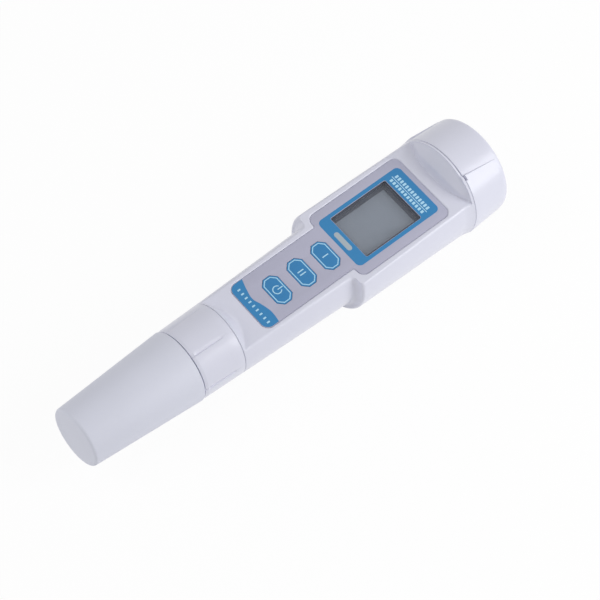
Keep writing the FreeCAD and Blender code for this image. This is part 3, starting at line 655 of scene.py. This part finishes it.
def keyOutline(name, grow=0.0, rounding=0.25):
    u, v, halfWidth, halfLength = keyPlace[name]
    width, length = halfWidth + grow, halfLength + grow
    cut = keyShape["cut"] + grow * (2 - math.sqrt(2))
    corners = [(-width, cut - length), (cut - width, -length), (width - cut, -length), (width, cut - length)]
    corners += [(-a, -c) for a, c in corners]
    return roundedOutline([(u + a, v + c, rounding) for a, c in corners], steps=4)


def diskOutline(u, v, radius, steps=32):
    return [(u + radius * math.cos(2 * math.pi * i / steps), v + radius * math.sin(2 * math.pi * i / steps))
            for i in range(steps)]


def makeBarrel():
    shell = finished("barrel_shell", loopMesh(barrelRings()), "barrel")
    gap, rim, above = labelShape["gap"], labelShape["rimRounding"], 3.0
    flare = [(gap, -labelFloor), (gap, -rim)]
    flare += [(gap + rim * (1 - math.cos(a)), -rim + rim * math.sin(a)) for a in arcSteps(0.2, 1.3, 6)]
    flare += [(flare[-1][0] + 0.05, above)]
    seat, opening = lensShape["border"] + lensShape["gap"], surround["wall"] + 0.02
    cutters = [levelMesh(labelOutline, flare),
               levelMesh(windowOutline, [(seat, -labelFloor - lensShape["thickness"]), (seat, above)]),
               levelMesh(windowOutline, [(opening, -2 * face["wall"]), (opening, above)])]
    wellFloor = keyShape["sink"] + keyShape["thickness"] + keyShape["travel"] + keyShape["gap"]
    for name in keyNames:
        cutters.append(levelMesh(lambda grow: keyOutline(name, grow),
                                 [(keyShape["gap"], -wellFloor), (keyShape["gap"], above)]))
        u, v = keyPlace[name][:2]
        cutters.append(levelMesh(lambda grow: diskOutline(u, v, keyShape["postBore"]),
                                 [(0, -2 * face["wall"]), (0, above)]))
    cutAway(shell, cutters)
    shell.data.shade_smooth()
    shell.data.set_sharp_from_angle(angle=math.radians(28))
    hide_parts("barrel_housing")
    return shell


# Battery cap, lock ring and protective cap

battery = {
    "radius": 19.3, "topRadius": 18.9, "rimEdge": 0.3, "topEdge": 1.7, "bore": 17.08, "recess": 14.2,
    "roof": 2.1, "seatDepth": 9.6, "threadFrom": 2.4, "threadDepth": 0.35, "pitch": 2.0,
    "sectorHeight": 0.85, "sectorEndHeight": 0.15, "sectorLength": 15.0, "sectorReach": 0.18, "sectorWall": 0.6,
    "notchSpan": 5.5, "notchLength": 0.45, "notchDepth": 1.9,
    "cutFrom": 265.0, "cutSpan": 23.0, "cutLength": 2.4,    # the left sector's corner at the seam
}


def stepAngles(edges, wall, total=224):
    # Even angles all round, with the ones beside each step moved onto the wall of the step.
    turns = [2 * math.pi * i / total for i in range(total)]
    clear = 2 * math.pi / total
    kept = [t for t in turns if all(abs((t - e + math.pi) % (2 * math.pi) - math.pi) > clear for e in edges)]
    for e in edges:
        kept += [(e + d * wall) % (2 * math.pi) for d in (-1.6, -0.8, -0.5, -0.2, 0.2, 0.5, 0.8, 1.6)]
    return np.array(sorted(kept))


def makeBatteryCap():
    b = battery
    start, end = barrelLength + seamGap, alongRow(capBox)[1]
    middle, half = math.radians(gripSectors["middle"]), math.radians(gripSectors["span"] / 2)
    wall, notch = math.radians(b["sectorWall"]), math.radians(b["notchSpan"])
    edges = [(middle + edge + turn) % (2 * math.pi)
             for edge in (-half, notch - half, half) for turn in (0, math.pi)]
    heel = backAngle(b["radius"], axisRise)
    turns = np.sort(np.concatenate([stepAngles(edges, wall)] + [
        np.linspace(at - 0.06, at + 0.06, 9) for at in (math.pi - heel, math.pi + heel)]))
    raised = sectorMask(turns, middle, half, 1.2 * wall)
    notched = raised * (1 - sectorMask(turns, middle + notch, half, 1.2 * wall))
    cut = b["cutLength"] * np.clip((turns - math.radians(b["cutFrom"])) / math.radians(b["cutSpan"]), 0, 1)

    def ring(x, radius, sector):
        t = min(max((x - start) / b["sectorLength"], 0), 1)
        lift = (b["sectorHeight"] * (1 - t) + b["sectorEndHeight"] * t) * sector * raised
        lift = lift * easeStep((x - start - cut) / 0.5 + 1)
        lift = lift - b["notchDepth"] * easeStep((start + b["notchLength"] - x) / 0.2) * sector * notched
        twist = math.radians(gripSectors["slant"]) * t
        made = circleRing(x, radius + lift, axisRise, turns + twist)
        reach = b["sectorReach"] * easeStep((start + 0.6 - x) / 0.5) * sector
        made[:, 0] -= reach * (raised - notched) * (1 - easeStep(cut / 0.2))
        return flattenBack(made)

    def sectorAt(x):             # 1 along the grip sectors and 0 beyond their far end
        return easeStep((start + b["sectorLength"] + 0.2 - x) / 0.5)

    outer = roundedProfile([(start, b["bore"], 0), (start, b["radius"], b["rimEdge"]),
                            (end, b["topRadius"], b["topEdge"]), (end, 3.0, 0)], steps=8)
    rings = []
    for (x, r), (nextX, nextR) in zip(outer, outer[1:] + outer[-1:]):
        rings.append(ring(x, r, sectorAt(x) * easeStep((r - b["bore"] - 1.2) / 0.7)))
        if nextX - x > 3:
            for t in arcSteps(0, 1, 40)[1:-1]:
                at = x + (nextX - x) * t
                rings.append(ring(at, r + (nextR - r) * t, sectorAt(at)))
    roof, seat = end - b["roof"], start + b["seatDepth"]
    for x, r in ((end, 0.01), (roof, 0.01), (roof, b["recess"]), (seat, b["recess"]), (seat, b["bore"])):
        rings.append(circleRing(x, r, axisRise, turns))
    for x in np.linspace(seat - 0.3, start + b["threadFrom"], 60):
        depth = b["threadDepth"] * easeStep((x - start - b["threadFrom"]) / 0.8)
        rings.append(circleRing(x, b["bore"] + depth * threadWave(x, turns, b["pitch"]), axisRise, turns))
    cap = finished("battery_cap_shell", loopMesh(rings), "battery_cap", 35)
    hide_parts("battery_cap")
    return cap


lockRing = {
    "frontRadius": 13.65, "rearRadius": 14.05, "edge": 0.2, "bevel": 1.2, "bevelDrop": 0.25, "bore": 12.18,
    "lip": 10.0, "flange": 2.45, "length": 13.2, "close": 0.18, "pitch": 1.5, "threadDepth": 0.35,
    "grooves": 6, "offset": 21.2, "frontWidth": 2.0, "rearWidth": 1.1, "depth": 0.5, "wallAt": 0.85,
    # across a groove: place and depth, a long slope and then a steep wall
    "steps": ((-1.0, 0.0), (-0.85, 0.06), (-0.3, 0.38), (0.2, 0.68), (0.6, 0.94), (0.7, 1.0), (0.78, 0.7),
              (0.92, 0.08), (1.0, 0.0)),
}


def makeLockRing():
    r = lockRing
    start, end = alongRow(ringBox)
    end += r["close"]
    between = 2 * math.pi / r["grooves"]

    def section(x, radius, deep):
        t = min(max((x - start) / r["length"], 0), 1)
        width = r["frontWidth"] + (r["rearWidth"] - r["frontWidth"]) * t
        depth = r["depth"] * width / r["frontWidth"] * deep
        half = width / 2 / radius
        turns, sunk = [], []
        for g in range(r["grooves"]):
            middle = math.radians(r["offset"]) + g * between - r["wallAt"] * half
            turns += [middle + s * half for s, part in r["steps"]]
            sunk += [depth * part for s, part in r["steps"]]
            turns += [middle + half + (between - 2 * half) * k / 24 for k in range(1, 24)]
            sunk += [0] * 23
        return circleRing(x, radius - np.array(sunk), 0, np.array(turns))

    outer = roundedProfile([(start, r["lip"], 0), (start, r["frontRadius"] - r["bevelDrop"], r["edge"]),
                            (start + r["bevel"], r["frontRadius"], 2 * r["edge"]),
                            (end, r["rearRadius"], r["edge"]), (end, r["bore"], 0)])
    rings = []
    for (x, radius), (nextX, nextRadius) in zip(outer, outer[1:] + outer[-1:]):
        rings.append(section(x, radius, easeStep((radius - r["lip"] - 1.6) / 0.8) if x < start + 1 else 0.0))
        if nextX - x > 3:
            grooveEnd = start + r["length"]
            for at in [*np.linspace(x + 0.6, grooveEnd - 0.4, 22), grooveEnd]:
                grown = radius + (nextRadius - radius) * (at - x) / (nextX - x)
                rings.append(section(at, grown, 1.0 if at < grooveEnd else 0.0))
    turns = np.unwrap(np.arctan2(-rings[0][:, 1], rings[0][:, 2]))
    flange = -barrel["neckLength"] - r["flange"]
    for x in np.linspace(end - 0.6, flange + 1.5, 48):
        depth = r["threadDepth"] * threadWave(x, turns, r["pitch"]) * easeStep((end - 0.6 - x) / 0.8)
        rings.append(circleRing(x, r["bore"] + depth, 0, turns))
    rings += [circleRing(flange, radius, 0, turns) for radius in (r["bore"], r["lip"])]
    piece = finished("lock_ring_shell", loopMesh(rings), "lock_ring", 32)
    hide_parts("lock_ring")
    return piece


probeCap = {"tipRadius": 11.15, "rimRadius": 13.8, "tipEdge": 1.1, "rimEdge": 0.35, "innerEdge": 0.3,
            "wall": 1.5, "tipWall": 2.0}


def makeProbeCap():
    p = probeCap
    start, end = alongRow(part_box("protective_cap"))
    floor = start + p["tipWall"]

    def inner(x):
        return p["tipRadius"] + (p["rimRadius"] - p["tipRadius"]) * (x - start) / (end - start) - p["wall"]

    line = roundedProfile([(start, 0.01, 0), (start, p["tipRadius"], p["tipEdge"]),
                           (end, p["rimRadius"], p["rimEdge"]), (end, inner(end), p["innerEdge"]),
                           (floor, inner(floor), p["tipEdge"]), (floor, 0.01, 0)], steps=8)
    rings = [circleRing(x, r) for x, r in line]
    piece = finished("protective_cap_shell", skinMesh(rings), "protective_cap", 35)
    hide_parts("protective_cap")
    return piece


neck = {"radius": 17.0, "bore": 14.9, "start": -12.0, "pitch": 2.0, "threadDepth": 0.35,
        "sealAt": 1.6, "sealGroove": 0.7, "sealFloor": 15.78, "cover": 2.45}


def makeNeck():
    n = neck
    high = alongRow(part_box("neck_sleeve"))[1]
    start = barrelLength + n["start"]
    inside = barrelLength - barrel["mouthLip"]

    def ringAt(x, radius):
        made = circleRing(x, radius, axisRise)
        if x <= inside:
            made[:, 2] = np.minimum(made[:, 2], faceHeight(x) - n["cover"])
        return made

    turns = np.linspace(0, 2 * math.pi, 192, endpoint=False)
    sealX, groove = barrelLength + n["sealAt"], n["sealGroove"]
    rings = [ringAt(x, n["radius"]) for x in (start, inside, inside + 0.01, sealX - groove)]
    rings += [ringAt(sealX - groove, n["sealFloor"]), ringAt(sealX + groove, n["sealFloor"]),
              ringAt(sealX + groove, n["radius"])]
    threadStart = sealX + groove + 0.2
    for x in np.linspace(threadStart, high - 0.3, 64):
        fade = easeStep((x - threadStart) / 0.8) * easeStep((high - 0.6 - x) / 0.6)
        depth = n["threadDepth"] * fade * (1 - threadWave(x, turns, n["pitch"]))
        rings.append(circleRing(x, n["radius"] - depth, axisRise, turns))
    rings += [ringAt(high, n["radius"] - 0.3), ringAt(high, n["bore"] + 0.2)]
    rings += [ringAt(x, n["bore"]) for x in (high - 0.2, inside + 0.01, inside, start)]
    piece = finished("neck_thread", loopMesh(rings), "barrel", 35)
    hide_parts("neck_sleeve")
    return piece


# Front label, its print and the keys

def makeLabel():
    s = labelShape
    outlines = [labelOutline(), windowOutline()] + [keyOutline(n, keyShape["gap"]) for n in keyNames]
    plate = plateMesh(outlines, -s["sink"], s["thickness"], s["edge"])
    film = finished("front_label_film", plate, "barrel", 40)
    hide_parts("front_label")
    return film


printed = {
    "ink": 0.025, "frameStart": 52.5, "frameEnd": 90.7, "frameHalf": 11.23, "frameCorner": 2.0,
    "frameGap": 0.12, "pillAt": 54.9, "pillHalf": 4.3, "pillWidth": 1.0, "footCut": 19.0,
    # rows of marks: middle, half height, half length of the row, count, half width as a part of the pitch
    "rows": ((87.5, 0.75, 8.8, 13, 0.32), (84.9, 0.65, 8.8, 12, 0.32)), "rule": (86.0, 86.3, 9.2),
    "footAt": 13.9, "footFrom": 7.4, "footPitch": 1.94, "footMarks": 9, "footHeight": 0.6, "footWidth": 0.3,
}
swooshLine = ((17.5, 10.2), (16.2, 6.1), (15.4, 2.0), (16.5, -1.5), (17.4, -5.7), (17.0, -10.2))


def inkPlate(name, outlines, layer=1, body="barrel", top=-labelShape["sink"]):
    ink = printed["ink"]
    return finished(name, plateMesh(outlines, top + ink * layer, ink), body, 40)


def makePrint():
    p, s = printed, labelShape
    made = {"frame": inkPlate("blue_frame_print", [
        boxOutline(p["frameStart"], p["frameEnd"], -p["frameHalf"], p["frameHalf"], p["frameCorner"]),
        windowOutline(p["frameGap"])])}
    edge, start = s["halfWidth"] - 0.05, s["start"] + 0.05
    past = p["footCut"] + 1
    corners = roundedOutline([(past, -edge, 0), (start, -edge, s["corner"]), (start, edge, s["corner"]),
                              (past, edge, 0)])
    foot = [point for point in corners if point[0] < p["footCut"]]
    foot += smoothLine([(u, max(-edge, min(edge, v))) for u, v in swooshLine])
    made["foot"] = inkPlate("blue_foot_print", [foot])
    at, wide, long = p["pillAt"], p["pillWidth"], p["pillHalf"]
    pill = boxOutline(at - wide, at + wide, -long, long, 0.99 * wide)
    made["pill"] = inkPlate("grey_pill_print", [pill], 2)
    bars = []
    for u, tall, rowHalf, count, part in p["rows"]:
        pitch = 2 * rowHalf / count
        for i in range(count):
            v = -rowHalf + pitch * (i + 0.5)
            bars.append(boxOutline(u - tall, u + tall, v - pitch * part, v + pitch * part, 0.15))
    low, high, reach = p["rule"]
    bars.append(boxOutline(low, high, -reach, reach, 0.05))
    u, tall, wide = p["footAt"], p["footHeight"], p["footWidth"]
    for i in range(p["footMarks"]):
        v = p["footFrom"] - p["footPitch"] * i
        bars.append(boxOutline(u - tall, u + tall, v - wide, v + wide, 0.1))
    made["marks"] = inkPlate("scale_marks_print", bars, 2)
    return made


def makeShadeSleeve():
    # Dark sleeve in the window opening, with a sloping ledge round the glass at its foot: painted shade, a dark
    # sheet standing in for the shadow the window walls cast on the sunk display glass.
    s = surround
    glassTop = (faceToRow.inverted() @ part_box("lcd_glass")[1]).z / mm
    top, foot = -labelFloor - lensShape["thickness"] - 0.02, glassTop + s["aboveGlass"]
    levels = [(s["wall"], foot), (s["wall"], top), (-s["cover"], top), (-s["cover"], foot + s["ledgeDrop"]),
              (-s["ledge"], foot + s["ledgeRise"]), (-s["ledge"], foot), (s["wall"], foot)]
    sleeve = finished("window_shade_sleeve", levelMesh(windowOutline, levels, endCaps=False), "barrel", 25)
    # painted shade: the sleeve takes the dark bezel finish so that it reads as the shadow inside the window
    paint(sleeve, finishes["bezel_plastic"])
    return sleeve


keyPrint = {
    "lineOut": 0.47, "lineIn": 0.85, "ringOut": 1.72, "ringIn": 1.32, "ringGap": 33.0,
    "barFrom": 0.2, "barTo": 2.4, "barHalf": 0.2, "stripeReach": 1.3, "stripePitch": 1.3, "stripeHalf": 0.22,
    "stripes": {"mode": 2, "unit": 1},
}


def makeKey(name):
    body = name + "_button"
    u, v = keyPlace[name][:2]
    k, p = keyShape, keyPrint
    top, foot = -k["sink"], -k["sink"] - k["thickness"]
    pad = finished(name + "_pad", plateMesh([keyOutline(name)], top, k["thickness"], k["edge"]), body, 40)
    stem = plateMesh([diskOutline(u, v, k["postRadius"])], foot, k["postLength"])
    post = finished(name + "_post", stem, body, 40)
    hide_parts(name + "_key")
    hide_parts(name + "_key")
    made = {"pad": pad, "post": post}
    line = [keyOutline(name, -p["lineOut"]), keyOutline(name, -p["lineIn"])]
    made["line"] = inkPlate(name + "_line_print", line, 1, body, top)
    if name == "power":
        turns = arcSteps(math.radians(p["ringGap"]), math.radians(360 - p["ringGap"]), 40)
        arc = [(u + r * math.cos(a), v + r * math.sin(a))
               for r, way in ((p["ringOut"], turns), (p["ringIn"], turns[::-1])) for a in way]
        marks = [arc, boxOutline(u + p["barFrom"], u + p["barTo"], v - p["barHalf"], v + p["barHalf"], 0.1)]
    else:
        count, reach, wide = p["stripes"][name], p["stripeReach"], p["stripeHalf"]
        places = [v + p["stripePitch"] * (i - (count - 1) / 2) for i in range(count)]
        marks = [boxOutline(u - reach, u + reach, at - wide, at + wide, 0.1) for at in places]
    made["symbol"] = inkPlate(name + "_symbol_print", marks, 1, body, top)
    return made


# Soft pieces inside the two caps

spongeShape = {"tipEdge": 1.1, "faceEdge": 1.4, "crown": 0.5, "taper": 0.2, "waves": 5, "waveHeight": 0.12}


def makeSponge():
    # Damp foam in the tip of the protective cap: a disc with a crowned, slightly uneven face.
    s = spongeShape
    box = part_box("storage_sponge")
    start, end = alongRow(box)
    radius = (box[1].y - box[0].y) / 2 / mm
    line = roundedProfile([(start, 0.01, 0), (start, radius, s["tipEdge"]),
                           (end - s["crown"], radius - s["taper"], s["faceEdge"]), (end, 0.01, 0)], steps=8)
    rings = []
    for (x, r), (nextX, nextR) in zip(line, line[1:]):
        parts = 12 if nextR < r - 2 else 1
        for t in arcSteps(0, 1, parts)[:-1]:
            at, reach = x + (nextX - x) * t, r + (nextR - r) * t
            ring = circleRing(at, reach)
            around = np.linspace(0, 2 * math.pi, len(ring), endpoint=False)
            wave = s["waveHeight"] * np.sin(s["waves"] * around + reach)
            ring[:, 0] += wave * min(1, reach / radius) * (at > start + 1)
            rings.append(ring)
    rings.append(circleRing(*line[-1]))
    sponge = finished("sponge_disc", skinMesh(rings), "protective_cap", 60)
    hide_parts("storage_sponge")
    paint(sponge, finishes["sponge_foam"])
    return sponge


padShape = {"bore": 6.0, "bulge": 0.25, "edge": 0.4}


def makePressurePad():
    # Rubber foam ring that holds the contact disc on the cells.
    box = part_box("cap_pressure_pad")
    start, end = alongRow(box)
    outer, inner = (box[1].y - box[0].y) / 2 / mm, padShape["bore"]
    bulge, edge = padShape["bulge"], padShape["edge"]
    across = [(start + (end - start) * t, bulge - bulge * math.sin(math.pi * t))
              for t in arcSteps(0.05, 0.95, 10)]
    line = [(start, inner + edge), (start, outer - edge)] + [(x, outer - drop) for x, drop in across]
    line += [(end, outer - edge), (end, inner + edge)] + [(x, inner + drop) for x, drop in across[::-1]]
    rings = [circleRing(x, r, axisRise) for x, r in line]
    pad = finished("pressure_pad_ring", loopMesh(rings), "cap_contact", 50)
    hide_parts("cap_pressure_pad")
    paint(pad, finishes["seal_rubber"])
    return pad


# Camera, floor and light

camera = {
    "right": (0.74893033, -0.65062909, 0.12563897), "up": (0.51966689, 0.69432037, 0.49786097),
    "back": (-0.41115652, -0.30757276, 0.85810798),
    "place": (-0.29997, -0.23213, 0.65028), "lens": 128.235,
}
lamps = {
    "key": {"place": (0.42, -0.42, 0.36), "size": 0.45, "energy": 2.5},
    "fill": {"place": (-1.5, 0.9, 1.7), "size": 2.0, "energy": 15.0},
}
studio = {"fill": 0.48, "floorWhite": 0.94, "floorColor": (0.93, 0.93, 0.93, 1.0), "reach": 3.0}


def makeCamera():
    data = bpy.data.cameras.new("camera")
    data.lens = camera["lens"]
    data.sensor_width = 36
    data.clip_start, data.clip_end = 0.01, 50
    seen = placed("camera", data)
    turn = Matrix((camera["right"], camera["up"], camera["back"])).transposed()
    seen.matrix_world = Matrix.Translation(camera["place"]) @ turn.to_4x4()
    bpy.context.scene.camera = seen


def makeLamp(name, place, size, energy):
    light = bpy.data.lights.new(name, "AREA")
    light.energy, light.size = energy, size
    lamp = placed(name, light)
    lamp.location = place
    lamp.rotation_euler = (Vector((0.02, 0, 0)) - lamp.location).to_track_quat("-Z", "Y").to_euler()


def seenRays(wire):                          # 1 for what the camera, a reflection or clear glass sees
    seen, glossy, through = (wire.node("LightPath", output="Is " + kind + " Ray")
                             for kind in ("Camera", "Glossy", "Transmission"))
    return seen.math("MAXIMUM", glossy).math("MAXIMUM", through)


def makeStudio():
    world = bpy.data.worlds.new("studio")
    world.use_nodes = True
    tree = world.node_tree
    white = seenRays(Wire(tree))
    plugIn(tree.nodes["Background"], {"Color": (1, 1, 1, 1),
                                      "Strength": white * (1 - studio["fill"]) + studio["fill"]})
    bpy.context.scene.world = world
    paper = bpy.data.materials.new("pale_floor")
    paper.use_nodes = True
    tree = paper.node_tree
    tree.nodes.remove(tree.nodes["Principled BSDF"])
    start = Wire(tree)
    matt = start.node("BsdfDiffuse", {}, {"Color": studio["floorColor"]})
    glow = start.node("Emission", {}, {"Color": (1, 1, 1, 1), "Strength": 1.0})
    mixed = start.node("MixShader", {}, {0: seenRays(start) * studio["floorWhite"], 1: matt, 2: glow})
    tree.links.new(mixed.socket, tree.nodes["Material Output"].inputs["Surface"])
    r = studio["reach"]
    mesh = bpy.data.meshes.new("floor")
    mesh.from_pydata([(-r, -r, 0), (r, -r, 0), (r, r, 0), (-r, r, 0)], [], [(0, 1, 2, 3)])
    mesh.materials.append(paper)
    floor = placed("floor", mesh)
    for name, lamp in lamps.items():
        makeLamp(name, **lamp)


makeCamera()
makeStudio()
print("studio ready")
for node, piece in frame["nodes"].items():
    paint(piece, finishes[slotOf[node]])
shell = makeBarrel()
print("barrel shell", len(shell.data.polygons))
for piece in (shell, makeBatteryCap(), makeLockRing()):
    paint(piece, finishes["shell_plastic"])
paint(makeProbeCap(), finishes["cap_plastic"])
paint(makeNeck(), finishes["inner_plastic"])
paint(makeLabel(), finishes["label_film"])
makeSponge()
makePressurePad()
makeShadeSleeve()
print("caps, ring, neck, label and window surround made")
inks = makePrint()
for part, ink in (("frame", "frame_blue_ink"), ("foot", "frame_blue_ink"), ("pill", "pill_grey_ink"),
                  ("marks", "mark_pale_ink")):
    paint(inks[part], finishes[ink])
for name in keyNames:
    made = makeKey(name)
    for part, finish in (("pad", "key_blue"), ("post", "key_blue"), ("line", "key_line_ink"),
                         ("symbol", "mark_pale_ink")):
        paint(made[part], finishes[finish])
print("print and keys made")

bpy.context.scene.view_settings.view_transform = "Standard"
